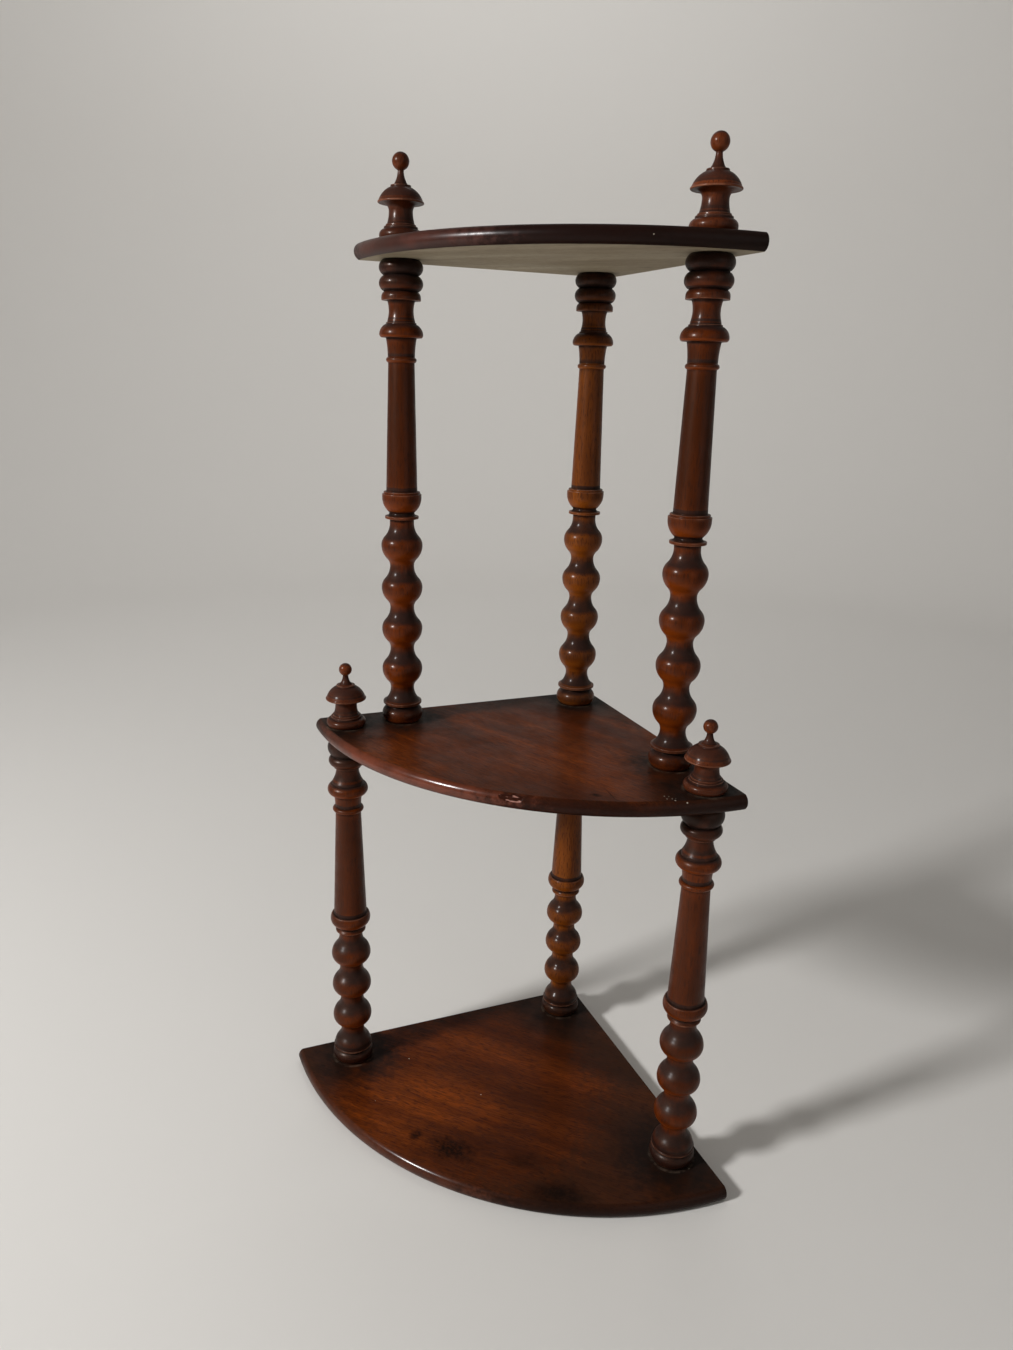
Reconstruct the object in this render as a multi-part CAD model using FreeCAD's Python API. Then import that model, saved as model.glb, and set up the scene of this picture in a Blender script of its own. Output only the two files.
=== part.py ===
import FreeCAD, Part
import math
import os
from FreeCAD import Vector

# A three-tier corner stand: quarter-round shelves carried by turned columns, with turned finials.
# The frame stands on the floor under the bottom shelf, with the wall corner at +Y and the front at -Y.
# All sizes are in millimetres.

# Shelves: quarter discs about the wall corner, with a rounded front edge that bows out by the nose depth
wall_angle = 90.0
bottom_shelf_radius = 332.0
middle_shelf_step = 30.0
top_shelf_step = 46.0
bottom_shelf_thickness = 14.0
middle_shelf_thickness = 14.0
top_shelf_thickness = 14.0
shelf_nose_depth = 4.5

# Column places: back from the tip of the shelf above, and in from the back edge
lower_bay_height = 367.5
upper_bay_height = 426.5
lower_column_setback = 24.5
upper_column_setback = 35.5
side_column_inset = 27.5
back_column_inset = 30.0

# Pegs and sockets that join the turnings through the shelves
column_peg_radius = 8.0
finial_peg_radius = 6.5
peg_clearance = 0.15
peg_reach = 18.0
socket_relief = 1.0
stub_cover = 3.0
wedge_stop = 3.0
wedge_thickness = 2.4
wedge_tip_thickness = 0.8

# Upper columns, foot to shaft: each bead stands out from its quirk by its depth
upper_foot_bead_radius = 20.0
upper_foot_bead_depth = 4.5
upper_foot_bead_height = 15.0
upper_foot_groove_radius = 15.0
upper_foot_groove_height = 3.0
upper_foot_lip_radius = 18.8
upper_foot_lip_height = 2.6
upper_foot_flare_radius = 17.6
upper_foot_flare_height = 13.6
bobbin_count = 4
bobbin_radius = 19.5
bobbin_neck_radius = 11.4
bobbin_rise = 19.6
bobbin_shoulder = 20.8
bobbin_rise_hollow = 0.35
bobbin_shoulder_round = 0.4
upper_saucer_neck_height = 4.6
upper_saucer_radius = 15.8
upper_saucer_height = 2.6
upper_saucer_dish_radius = 11.7
upper_saucer_dish_height = 3.0
upper_cup_radius = 18.4
upper_cup_bowl_height = 14.0
upper_cup_lip_height = 3.4
upper_cup_fillet_radius = 17.0
upper_cup_fillet_height = 2.2

# Upper columns, shaft to head
upper_shaft_foot_radius = 14.5
upper_shaft_head_radius = 11.9
upper_astragal_depth = 1.9
upper_astragal_height = 4.6
upper_spool_radius = 12.2
upper_spool_height = 16.6
upper_spool_flare = 1.6
upper_bell_lip = 1.6
upper_bell_lip_height = 2.8
upper_bell_radius = 19.6
upper_bell_dome_height = 8.4
upper_bell_dome_bulge = 1.3
upper_bell_crown_radius = 14.4
upper_step_radius = 13.6
upper_step_height = 1.6
upper_fillet_radius = 12.4
upper_fillet_height = 1.4
upper_neck_hollow = 1.4
upper_neck_height = 17.0
upper_disc_radius = 17.5
upper_disc_height = 2.8
upper_disc_crown_radius = 14.8
upper_disc_crown_height = 4.6
head_bead_count = 2
upper_head_bead_radius = 19.5
upper_head_bead_depth = 4.3
upper_head_bead_height = 13.2

# Lower columns, foot to shaft
lower_foot_bead_radius = 21.2
lower_foot_bead_depth = 4.3
lower_foot_bead_height = 13.6
lower_foot_groove_radius = 17.0
lower_foot_groove_height = 1.6
lower_foot_lip_radius = 20.2
lower_foot_lip_height = 1.6
lower_foot_dome_radius = 19.4
lower_foot_dome_height = 19.6
lower_foot_dome_round = 0.5
ball_count = 3
ball_radius = 20.2
ball_neck_radius = 12.0
ball_neck_height = 3.6
ball_rise = 13.0
ball_shoulder = 20.9
ball_rise_hollow = 0.2
ball_shoulder_round = 0.52
lower_saucer_neck_height = 6.4
lower_saucer_radius = 15.4
lower_saucer_height = 1.4
lower_saucer_dish_radius = 13.2
lower_saucer_dish_height = 4.4
lower_cup_radius = 20.4
lower_cup_bowl_height = 8.4
lower_cup_rim_radius = 18.8
lower_cup_rim_height = 5.6

# Lower columns, shaft to head
lower_shaft_foot_radius = 16.8
lower_shaft_head_radius = 12.6
lower_astragal_depth = 2.8
lower_astragal_height = 5.0
lower_spool_radius = 12.8
lower_spool_height = 13.4
lower_spool_flare = 1.4
lower_bell_lip = 3.6
lower_bell_lip_height = 5.6
lower_bell_radius = 20.0
lower_bell_dome_height = 5.6
lower_bell_crown_radius = 16.6
lower_step_radius = 15.6
lower_step_height = 2.0
lower_neck_radius = 11.0
lower_neck_height = 15.4
lower_disc_radius = 13.4
lower_disc_height = 2.4
lower_head_bead_radius = 18.2
lower_head_bead_depth = 3.6
lower_head_bead_height = 10.4
lower_cap_bead_radius = 18.9
lower_cap_bead_depth = 4.3
lower_cap_bead_height = 17.0

# Finials
finial_bead_radius = 19.0
finial_bead_depth = 3.4
finial_ring_radius = 14.8
finial_ring_height = 2.2
finial_fillet_radius = 13.2
finial_fillet_height = 1.8
finial_neck_foot_radius = 12.2
finial_neck_radius = 10.4
finial_cove_height = 6.0
finial_brim_lip = 0.9
finial_brim_height = 2.0
finial_cap_height = 10.6
finial_cap_bulge = 1.5
finial_crown_radius = 9.8
finial_step_radius = 8.9
finial_step_height = 2.0
finial_spire_foot_radius = 6.4
finial_spire_radius = 2.6
top_finial_bead_height = 10.0
top_finial_neck_height = 10.6
top_finial_cap_radius = 20.2
top_finial_spire_height = 11.8
top_finial_ball_radius = 7.4
middle_finial_bead_height = 8.0
middle_finial_neck_height = 9.0
middle_finial_cap_radius = 19.5
middle_finial_spire_height = 9.4
middle_finial_ball_radius = 6.2

middle_shelf_radius = bottom_shelf_radius - middle_shelf_step
top_shelf_radius = middle_shelf_radius - top_shelf_step
lower_column_reach = middle_shelf_radius - lower_column_setback
upper_column_reach = top_shelf_radius - upper_column_setback
corner_y = bottom_shelf_radius / 2
bottom_top = bottom_shelf_thickness
middle_underside = bottom_top + lower_bay_height
middle_top = middle_underside + middle_shelf_thickness
top_underside = middle_top + upper_bay_height
top_top = top_underside + top_shelf_thickness


class Pen:
    """Draws a turned profile upwards from the axis, as lines and arcs of radius and height."""

    def __init__(self, height):
        self.radius = 0.0
        self.height = height
        self.foot = height
        self.edges = []

    def line(self, radius, height):
        if abs(radius - self.radius) + abs(height - self.height) > 1e-6:
            start = Vector(self.radius, 0, self.height)
            self.edges.append(Part.LineSegment(start, Vector(radius, 0, height)).toShape())
        self.radius = radius
        self.height = height

    def arc(self, middle, radius, height):
        start = Vector(self.radius, 0, self.height)
        through = Vector(middle[0], 0, middle[1])
        end = Vector(radius, 0, height)
        if through.distanceToLine(start, end - start) < 1e-6:
            self.line(radius, height)
            return
        self.edges.append(Part.Arc(start, through, end).toShape())
        self.radius = radius
        self.height = height

    def solid(self):
        self.line(0.0, self.height)
        self.line(0.0, self.foot)
        face = Part.Face(Part.Wire(self.edges))
        return face.revolve(Vector(0, 0, 0), Vector(0, 0, 1), 360)


def band(pen, radius, height):
    """A plain collar: out or in to the radius, then straight up."""
    pen.line(radius, pen.height)
    pen.line(radius, pen.height + height)


def taper(pen, foot_radius, head_radius, height):
    """A straight cone."""
    pen.line(foot_radius, pen.height)
    pen.line(head_radius, pen.height + height)


def bead(pen, radius, depth, height):
    """A rounded ring that stands out from its quirk by the depth, to the radius."""
    quirk = radius - depth
    pen.line(quirk, pen.height)
    pen.arc((radius, pen.height + height / 2), quirk, pen.height + height)


def hook(pen, radius, height, upright_at_start):
    """One arc to a new radius, upright at its start or at its end."""
    span = radius - pen.radius
    if abs(span) < 1e-6:
        pen.line(radius, pen.height + height)
        return
    arc_radius = (span * span + height * height) / (2 * abs(span))
    half_turn = math.asin(min(1.0, height / arc_radius)) / 2
    if arc_radius < abs(span):
        half_turn = math.pi / 2 - half_turn
    side = 1 if span > 0 else -1
    inset = arc_radius * (1 - math.cos(half_turn))
    lift = arc_radius * math.sin(half_turn)
    if upright_at_start:
        middle = (pen.radius + side * inset, pen.height + lift)
    else:
        middle = (radius - side * inset, pen.height + height - lift)
    pen.arc(middle, radius, pen.height + height)


def ogee(pen, radius, height, share):
    """A double curve, upright at both ends, that changes hand at the given share of its chord."""
    turn_radius = pen.radius + (radius - pen.radius) * share
    hook(pen, turn_radius, height * share, True)
    hook(pen, radius, height * (1 - share), False)


def bow(pen, radius, height, bulge):
    """One arc to a new radius, whose middle stands off its chord by the bulge."""
    span = radius - pen.radius
    chord = math.hypot(span, height)
    middle_radius = pen.radius + span / 2 + bulge * height / chord
    middle_height = pen.height + height / 2 - bulge * span / chord
    pen.arc((middle_radius, middle_height), radius, pen.height + height)


def rise_of(section):
    """The height of one drawn section of a turning."""
    pen = Pen(0.0)
    section(pen)
    return pen.height


def upper_foot(pen):
    bead(pen, upper_foot_bead_radius, upper_foot_bead_depth, upper_foot_bead_height)
    band(pen, upper_foot_groove_radius, upper_foot_groove_height)
    band(pen, upper_foot_lip_radius, upper_foot_lip_height)
    pen.line(upper_foot_flare_radius, pen.height)
    hook(pen, bobbin_neck_radius, upper_foot_flare_height, False)
    for bobbin in range(bobbin_count):
        ogee(pen, bobbin_radius, bobbin_rise, bobbin_rise_hollow)
        ogee(pen, bobbin_neck_radius, bobbin_shoulder, bobbin_shoulder_round)
    band(pen, bobbin_neck_radius, upper_saucer_neck_height)
    band(pen, upper_saucer_radius, upper_saucer_height)
    hook(pen, upper_saucer_dish_radius, upper_saucer_dish_height, False)
    hook(pen, upper_cup_radius, upper_cup_bowl_height, False)
    band(pen, upper_cup_radius, upper_cup_lip_height)
    band(pen, upper_cup_fillet_radius, upper_cup_fillet_height)


def upper_head(pen):
    bead(pen, upper_shaft_head_radius + upper_astragal_depth, upper_astragal_depth, upper_astragal_height)
    pen.line(upper_spool_radius, pen.height)
    hook(pen, upper_spool_radius + upper_spool_flare, upper_spool_height, True)
    pen.line(upper_bell_radius - upper_bell_lip, pen.height)
    hook(pen, upper_bell_radius, upper_bell_lip_height, False)
    bow(pen, upper_bell_crown_radius, upper_bell_dome_height, upper_bell_dome_bulge)
    band(pen, upper_step_radius, upper_step_height)
    band(pen, upper_fillet_radius, upper_fillet_height)
    bow(pen, upper_fillet_radius, upper_neck_height, -upper_neck_hollow)
    band(pen, upper_disc_radius, upper_disc_height)
    hook(pen, upper_disc_crown_radius, upper_disc_crown_height, True)
    for ring in range(head_bead_count):
        bead(pen, upper_head_bead_radius, upper_head_bead_depth, upper_head_bead_height)


def lower_foot(pen):
    bead(pen, lower_foot_bead_radius, lower_foot_bead_depth, lower_foot_bead_height)
    band(pen, lower_foot_groove_radius, lower_foot_groove_height)
    band(pen, lower_foot_lip_radius, lower_foot_lip_height)
    pen.line(lower_foot_dome_radius, pen.height)
    ogee(pen, ball_neck_radius, lower_foot_dome_height, lower_foot_dome_round)
    for ball in range(ball_count):
        band(pen, ball_neck_radius, ball_neck_height)
        ogee(pen, ball_radius, ball_rise, ball_rise_hollow)
        ogee(pen, ball_neck_radius, ball_shoulder, ball_shoulder_round)
    band(pen, ball_neck_radius, lower_saucer_neck_height)
    band(pen, lower_saucer_radius, lower_saucer_height)
    hook(pen, lower_saucer_dish_radius, lower_saucer_dish_height, False)
    hook(pen, lower_cup_radius, lower_cup_bowl_height, False)
    hook(pen, lower_cup_rim_radius, lower_cup_rim_height, True)


def lower_head(pen):
    bead(pen, lower_shaft_head_radius + lower_astragal_depth, lower_astragal_depth, lower_astragal_height)
    pen.line(lower_spool_radius, pen.height)
    hook(pen, lower_spool_radius + lower_spool_flare, lower_spool_height, True)
    pen.line(lower_bell_radius - lower_bell_lip, pen.height)
    hook(pen, lower_bell_radius, lower_bell_lip_height, False)
    hook(pen, lower_bell_crown_radius, lower_bell_dome_height, True)
    band(pen, lower_step_radius, lower_step_height)
    hook(pen, lower_neck_radius, lower_neck_height, False)
    band(pen, lower_disc_radius, lower_disc_height)
    bead(pen, lower_head_bead_radius, lower_head_bead_depth, lower_head_bead_height)
    bead(pen, lower_cap_bead_radius, lower_cap_bead_depth, lower_cap_bead_height)


def column(peg_length, foot, head, shaft_radii, length, stub=0.0):
    """A turned column on its foot peg, with the foot at height 0 and the shaft filling its length."""
    pen = Pen(-peg_length)
    band(pen, column_peg_radius, peg_length)
    foot(pen)
    taper(pen, shaft_radii[0], shaft_radii[1], length - rise_of(foot) - rise_of(head))
    head(pen)
    if stub:
        band(pen, column_peg_radius, stub)
    return pen.solid()


def finial(peg_length, bead_height, neck_height, cap_radius, spire_height, ball_radius):
    """A turned finial on its peg, with its seat at height 0 and a ball at the tip."""
    pen = Pen(-peg_length)
    band(pen, finial_peg_radius, peg_length)
    bead(pen, finial_bead_radius, finial_bead_depth, bead_height)
    band(pen, finial_ring_radius, finial_ring_height)
    band(pen, finial_fillet_radius, finial_fillet_height)
    pen.line(finial_neck_foot_radius, pen.height)
    hook(pen, finial_neck_radius, neck_height, False)
    brim_radius = cap_radius - finial_brim_lip
    hook(pen, brim_radius, finial_cove_height, True)
    bead(pen, cap_radius, finial_brim_lip, finial_brim_height)
    bow(pen, finial_crown_radius, finial_cap_height, finial_cap_bulge)
    band(pen, finial_step_radius, finial_step_height)
    pen.line(finial_spire_foot_radius, pen.height)
    hook(pen, finial_spire_radius, spire_height, False)
    centre = pen.height + math.sqrt(ball_radius ** 2 - finial_spire_radius ** 2)
    pen.arc((ball_radius, centre), 0.0, centre + ball_radius)
    return pen.solid()


def bore(solid, radius, x, y, foot, head):
    """Drills an upright hole between two heights."""
    return solid.cut(Part.makeCylinder(radius, head - foot, Vector(x, y, foot)))


def socket(solid, radius, length):
    """Drills the head of a column for a peg from above."""
    return bore(solid, radius + peg_clearance, 0, 0, length - peg_reach - socket_relief, length)


def wedge_block(peg_length):
    """A wedge as wide as the peg, thick end level with the peg's end."""
    half = wedge_thickness / 2
    tip = wedge_tip_thickness / 2
    foot = -peg_length
    head = -wedge_stop
    width = column_peg_radius
    outline = [(-half, foot), (half, foot), (tip, head), (-tip, head), (-half, foot)]
    wire = Part.makePolygon([Vector(x, -width, z) for x, z in outline])
    return Part.Face(wire).extrude(Vector(0, 2 * width, 0))


def wedged(solid, peg_length):
    """Saws the peg for its wedge; gives the sawn turning and the wedge."""
    block = wedge_block(peg_length)
    peg = Part.makeCylinder(column_peg_radius, peg_length, Vector(0, 0, -peg_length))
    return solid.cut(block), block.common(peg)


def shelf(radius, thickness, underside):
    """A quarter turn of the shelf's section about the wall corner."""
    arris = radius - shelf_nose_depth
    pen = Pen(0.0)
    pen.line(arris, 0.0)
    pen.arc((radius, thickness / 2), arris, thickness)
    pen.line(0.0, thickness)
    pen.line(0.0, 0.0)
    board = Part.Face(Part.Wire(pen.edges)).revolve(Vector(0, 0, 0), Vector(0, 0, 1), wall_angle)
    board.rotate(Vector(0, 0, 0), Vector(0, 0, 1), -90 - wall_angle / 2)
    board.translate(Vector(0, corner_y, underside))
    return board


def side_place(sign, reach):
    """The axis of a left (-1) or right (1) column, from its reach along the back edge."""
    half = math.radians(wall_angle / 2)
    x = sign * (reach * math.sin(half) - side_column_inset * math.cos(half))
    y = corner_y - reach * math.cos(half) - side_column_inset * math.sin(half)
    return x, y


def back_place():
    return 0.0, corner_y - back_column_inset / math.sin(math.radians(wall_angle / 2))


def export(name, solid):
    solid.exportStep("parts/" + name + ".step")
    print(name, "valid", solid.isValid(), "volume", round(solid.Volume))


def moved(solid, place, height):
    copy = solid.copy()
    copy.translate(Vector(place[0], place[1], height))
    return copy


os.makedirs("parts", exist_ok=True)
column_hole = column_peg_radius + peg_clearance
finial_hole = finial_peg_radius + peg_clearance
lower_shaft = (lower_shaft_foot_radius, lower_shaft_head_radius)
upper_shaft = (upper_shaft_foot_radius, upper_shaft_head_radius)
sides = (("left", -1), ("right", 1))

bottom_shelf = shelf(bottom_shelf_radius, bottom_shelf_thickness, 0.0)
middle_shelf = shelf(middle_shelf_radius, middle_shelf_thickness, middle_underside)
top_shelf = shelf(top_shelf_radius, top_shelf_thickness, top_underside)

# Side columns with their finials, left and right
for side, sign in sides:
    lower = side_place(sign, lower_column_reach)
    upper = side_place(sign, upper_column_reach)
    bottom_shelf = bore(bottom_shelf, column_hole, *lower, 0.0, bottom_top)
    middle_shelf = bore(middle_shelf, finial_hole, *lower, middle_underside, middle_top)
    middle_shelf = bore(middle_shelf, column_hole, *upper, middle_underside, middle_top)
    top_shelf = bore(top_shelf, finial_hole, *upper, top_underside, top_top)

    turned = column(bottom_shelf_thickness, lower_foot, lower_head, lower_shaft, lower_bay_height)
    turned = socket(turned, finial_peg_radius, lower_bay_height)
    turned, wedge = wedged(turned, bottom_shelf_thickness)
    export("lower_column_" + side, moved(turned, lower, bottom_top))
    export("lower_peg_wedge_" + side, moved(wedge, lower, bottom_top))

    turned = column(middle_shelf_thickness, upper_foot, upper_head, upper_shaft, upper_bay_height)
    turned = socket(turned, finial_peg_radius, upper_bay_height)
    turned, wedge = wedged(turned, middle_shelf_thickness)
    export("upper_column_" + side, moved(turned, upper, middle_top))
    export("upper_peg_wedge_" + side, moved(wedge, upper, middle_top))

    turned = finial(middle_shelf_thickness + peg_reach, middle_finial_bead_height, middle_finial_neck_height,
                    middle_finial_cap_radius, middle_finial_spire_height, middle_finial_ball_radius)
    export("middle_finial_" + side, moved(turned, lower, middle_top))
    turned = finial(top_shelf_thickness + peg_reach, top_finial_bead_height, top_finial_neck_height,
                    top_finial_cap_radius, top_finial_spire_height, top_finial_ball_radius)
    export("top_finial_" + side, moved(turned, upper, top_top))

# Back columns, one above the other in the wall corner
back = back_place()
stub_length = top_shelf_thickness - stub_cover - socket_relief
bottom_shelf = bore(bottom_shelf, column_hole, *back, 0.0, bottom_top)
middle_shelf = bore(middle_shelf, column_hole, *back, middle_underside, middle_top)
top_shelf = bore(top_shelf, column_hole, *back, top_underside, top_top - stub_cover)

turned = column(bottom_shelf_thickness, lower_foot, lower_head, lower_shaft, lower_bay_height)
turned = socket(turned, column_peg_radius, lower_bay_height)
turned, wedge = wedged(turned, bottom_shelf_thickness)
export("lower_column_back", moved(turned, back, bottom_top))
export("lower_peg_wedge_back", moved(wedge, back, bottom_top))
turned = column(middle_shelf_thickness + peg_reach, upper_foot, upper_head, upper_shaft,
                upper_bay_height, stub_length)
export("upper_column_back", moved(turned, back, middle_top))

export("bottom_shelf", bottom_shelf)
export("middle_shelf", middle_shelf)
export("top_shelf", top_shelf)
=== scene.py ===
import math
import bmesh
import bpy
import numpy as np
from mathutils import Matrix, Vector
from mathutils.geometry import delaunay_2d_cdt


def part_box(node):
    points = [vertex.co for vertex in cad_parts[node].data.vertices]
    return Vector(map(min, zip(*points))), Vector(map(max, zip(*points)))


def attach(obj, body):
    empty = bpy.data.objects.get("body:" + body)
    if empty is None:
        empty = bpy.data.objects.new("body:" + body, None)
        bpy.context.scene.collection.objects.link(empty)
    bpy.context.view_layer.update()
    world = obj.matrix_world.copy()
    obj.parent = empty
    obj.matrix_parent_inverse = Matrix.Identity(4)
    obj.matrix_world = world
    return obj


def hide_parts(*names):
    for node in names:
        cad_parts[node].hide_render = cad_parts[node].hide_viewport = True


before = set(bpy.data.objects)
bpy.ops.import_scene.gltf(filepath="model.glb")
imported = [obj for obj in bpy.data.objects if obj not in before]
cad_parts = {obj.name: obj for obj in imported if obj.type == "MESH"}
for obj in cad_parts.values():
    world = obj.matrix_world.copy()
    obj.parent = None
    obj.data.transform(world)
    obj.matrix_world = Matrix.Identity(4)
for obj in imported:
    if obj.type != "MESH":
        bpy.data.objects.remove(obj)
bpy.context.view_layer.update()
scene = bpy.context.scene
mm = 0.001  # profiles below are in millimetres, meshes in metres
front, allSides = ("left", "right"), ("left", "right", "back")
print("loaded", len(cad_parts), "nodes of the stand")


# Mesh helpers

def makePiece(name, node, points, faces, materials, marks, faceMaterial=None, level=None):
    mesh = bpy.data.meshes.new(name)
    mesh.from_pydata(points.tolist(), [], faces)
    for markName, values in marks.items():
        layer = mesh.attributes.new(markName, "FLOAT", "POINT")
        layer.data.foreach_set("value", values.astype(np.float32))
    for material in materials:
        mesh.materials.append(material)
    if faceMaterial is not None:
        mesh.polygons.foreach_set("material_index", faceMaterial.astype(np.int32))
    smooth = np.ones(len(faces), bool) if level is None else ~level
    mesh.polygons.foreach_set("use_smooth", smooth)
    mesh.update()
    piece = bpy.data.objects.new(name, mesh)
    scene.collection.objects.link(piece)
    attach(piece, "root")
    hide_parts(node)
    return piece


def gridQuads(rows, columns, wrap, first=0):
    # quads between neighbouring rows and columns; the last column meets the first where it wraps
    across = np.arange(columns if wrap else columns - 1)
    row, column = np.meshgrid(np.arange(rows - 1), across, indexing="ij")
    after = (column + 1) % columns
    quads = np.stack([row * columns + column, row * columns + after,
                      (row + 1) * columns + after, (row + 1) * columns + column], -1)
    return quads.reshape(-1, 4) + first


def circlePoints(x, y, radius, count):
    # one turn about a centre: x + r cos a, y + r sin a
    a = np.linspace(0, 2 * math.pi, count, endpoint=False)
    return np.stack([x + radius * np.cos(a), y + radius * np.sin(a)], 1)


def spunPoints(radius, height, around):
    # each radius and height carried round the axis: x = r cos a, y = r sin a, z = h
    a = np.linspace(0, 2 * math.pi, around, endpoint=False)
    wide, tall = radius[:, None], np.repeat(height[:, None], around, 1)
    return np.stack([wide * np.cos(a), wide * np.sin(a), tall], -1).reshape(-1, 3)


def blur(values, width):
    # weighted mean over a bell curve, with the ends held
    reach = int(math.ceil(width * 3))
    bell = np.exp(-0.5 * (np.arange(-reach, reach + 1) / width) ** 2)
    held = np.pad(values, reach, mode="edge")
    return np.convolve(held, bell / bell.sum(), mode="valid")


def softPath(path, gap, soften):
    # the path in even steps with its corners blurred: distance walked, then both coordinates
    length = np.concatenate([[0], np.cumsum(np.hypot(*np.diff(path, axis=0).T))])
    even = np.linspace(0, length[-1], int(length[-1] / gap))
    first, second = (blur(np.interp(even, length, path[:, k]), soften / gap) for k in (0, 1))
    return even, first, second


# Turned profiles

def arcPoints(start, middle, end, count=48):
    # the circle through three points, walked from the first past the second to the third
    (ax, ay), (bx, by), (cx, cy) = start, middle, end
    spread = 2 * (ax * (by - cy) + bx * (cy - ay) + cx * (ay - by))
    a2, b2, c2 = ax * ax + ay * ay, bx * bx + by * by, cx * cx + cy * cy
    x = (a2 * (by - cy) + b2 * (cy - ay) + c2 * (ay - by)) / spread
    y = (a2 * (cx - bx) + b2 * (ax - cx) + c2 * (bx - ax)) / spread
    turns = np.unwrap([math.atan2(p[1] - y, p[0] - x) for p in (start, middle, end)])
    turn = np.linspace(turns[0], turns[2], count)
    size = math.hypot(ax - x, ay - y)
    return np.stack([x + size * np.cos(turn), y + size * np.sin(turn)], 1)


def hookPoints(start, radius, height, uprightAtStart):
    # one arc to a new radius that stands upright at its start or at its end
    span = radius - start[0]
    size = (span * span + height * height) / (2 * abs(span))
    half = math.asin(min(1.0, height / size)) / 2
    half = math.pi / 2 - half if size < abs(span) else half
    inset = math.copysign(size * (1 - math.cos(half)), span)
    lift = size * math.sin(half)
    low, high = (start[0] + inset, start[1] + lift), (radius - inset, start[1] + height - lift)
    return arcPoints(start, low if uprightAtStart else high, (radius, start[1] + height))


def walkProfile(moves, foot):
    # the moves joined end to end, from the axis at the foot; radius and height of each point
    path = [np.array([[0.0, foot]])]
    for move, radius, *rest in moves:
        r, h = path[-1][-1]
        if move == "step":
            made = [[radius, h]]
        elif move == "band":
            made = [[radius, h], [radius, h + rest[0]]]
        elif move == "taper":
            made = [[radius, h], [rest[0], h + rest[1]]]
        elif move == "bead":
            quirk = radius - rest[0]
            made = arcPoints((quirk, h), (radius, h + rest[1] / 2), (quirk, h + rest[1]))
        elif move == "hook":
            made = hookPoints((r, h), radius, rest[0], rest[1])
        elif move == "ogee":
            turn = r + (radius - r) * rest[1]
            low = hookPoints((r, h), turn, rest[0] * rest[1], True)
            high = hookPoints(low[-1], radius, rest[0] * (1 - rest[1]), False)
            made = np.concatenate([low, high])
        elif move == "bow":
            chord = math.hypot(radius - r, rest[0])
            middle = ((r + radius) / 2 + rest[1] * rest[0] / chord,
                      h + rest[0] / 2 - rest[1] * (radius - r) / chord)
            made = arcPoints((r, h), middle, (radius, h + rest[0]))
        elif move == "ball":
            centre = h + math.sqrt(radius ** 2 - r ** 2)
            made = arcPoints((r, h), (radius, centre), (0.0, centre + radius))
        path.append(np.array(made))
    return np.concatenate(path)


latheSettings = {
    "least": 1e-6,       # shorter steps are left out
    "gap": 0.25,         # sampling of the drawn profile
    "soften": 0.32,      # rounding that handling has given every arris
    "rowTurn": 7.5,      # degrees of bend between rows
    "rowGap": 2.6,       # longest row
    "around": 64,
    "creaseReach": 1.3,  # wax in the quirks: how far it spreads
    "creaseBend": (0.08, 0.38),  # inward bend where it starts and where it is full
    "arrisReach": 0.5,   # rubbed arrises, lightened as painted highlights: how far the rubbing spreads
    "arrisBend": (0.35, 0.95),  # outward bend where it starts and where it is full
    "ringReach": 3.0,    # thin rings between two quirks, waxed all over
    "ringCrease": (1 / 6, 0.7),
    "ringWax": 0.8,
    "plainReach": 4.0,   # the long tapers, away from the mouldings
    "plainLean": (0.03, 0.18),
    "waxLift": 3.5,      # wax starts this far above each widest ring and ends this far past the neck
    "footWax": (20.0, 34.0),  # heights between which the soiled foot turns to clean wood
    "headWax": (14.0, 44.0),  # painted shadow of the shelf above, in the soil colour: the same, measured down from a column's head
}


def wearMarks(even, height, bend, lean, soiled, head):
    # where wax and soil lie, where hands have rubbed it off, where highlights are painted on the
    # arrises and where shade is painted below a column's head, each from 0 to 1 along the profile
    s = latheSettings
    crease = np.interp(-blur(bend, s["creaseReach"] / s["gap"]), s["creaseBend"], (0, 1))
    ring = np.interp(blur(crease, s["ringReach"] / s["gap"]), s["ringCrease"], (0, s["ringWax"]))
    shoulder = np.interp(even - s["waxLift"], even, np.clip(-lean, 0, 1))
    ends = np.interp(height, s["footWax"], (soiled, 0))
    # below a column's head the soil colour is painted shadow of the shelf above
    if head:
        ends = np.maximum(ends, np.interp(head - height, s["headWax"], (1, 0)))
    return {
        "crease": crease,
        "arris": np.interp(blur(bend, s["arrisReach"] / s["gap"]), s["arrisBend"], (0, 1)),
        "shoulder": np.maximum(shoulder, ring),
        "belly": np.clip(lean, 0, 1),
        "plain": np.interp(blur(np.abs(lean), s["plainReach"] / s["gap"]), s["plainLean"], (1, 0)),
        "ends": ends,
    }


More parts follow.
